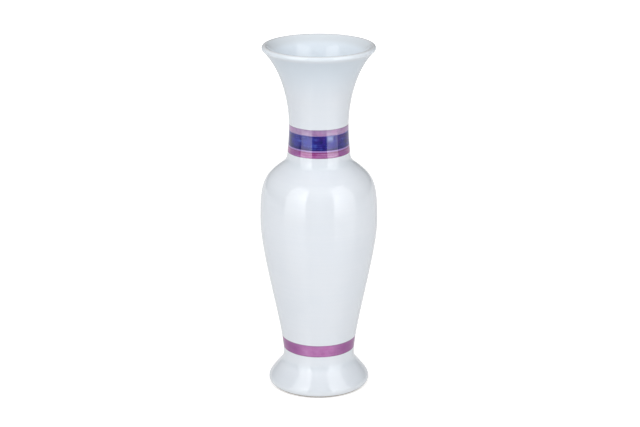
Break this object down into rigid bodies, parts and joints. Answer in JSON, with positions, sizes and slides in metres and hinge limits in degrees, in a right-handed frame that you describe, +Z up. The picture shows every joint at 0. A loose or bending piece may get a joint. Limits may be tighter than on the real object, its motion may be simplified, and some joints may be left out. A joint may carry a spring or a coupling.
{
  "type": "vase",
  "caption": "Slender footed vase with a trumpet mouth, a narrow banded neck, a high round shoulder and a tapering body, for holding cut flowers.",
  "frame": {"origin": "on the floor, under the middle of the foot ring", "axes": "+Z up along the axis that the vase is turned about; it looks the same from every side, so +X and +Y are free"},
  "size_m": [0.093, 0.093, 0.28],
  "materials": {
    "white_glaze": "clear glossy glaze over cool white porcelain, with faint turning rings",
    "biscuit": "bare matt biscuit on the standing ring, slightly toasted at the glaze line",
    "lilac_enamel": "glossy brushed enamel, translucent, with streaks round the neck",
    "blue_enamel": "glossy brushed enamel, deep violet blue, with streaks round the neck",
    "rose_enamel": "glossy brushed enamel, rose mauve, streaky and darker where it pools at its edges"
  },
  "bodies": {
    "root": {"foot_ring": "biscuit", "foot_skirt": "white_glaze", "vessel_floor": "white_glaze", "lower_body": "white_glaze", "shoulder": "white_glaze", "neck": "white_glaze", "mouth_flare": "white_glaze", "lip_roll": "white_glaze", "floor_luting_coil": "white_glaze", "girth_luting_coil": "white_glaze", "neck_luting_coil": "white_glaze", "foot_band": "rose_enamel", "neck_band_lower": "rose_enamel", "neck_band_blue": "blue_enamel", "neck_band_upper": "lilac_enamel"}
  },
  "joints": []
}
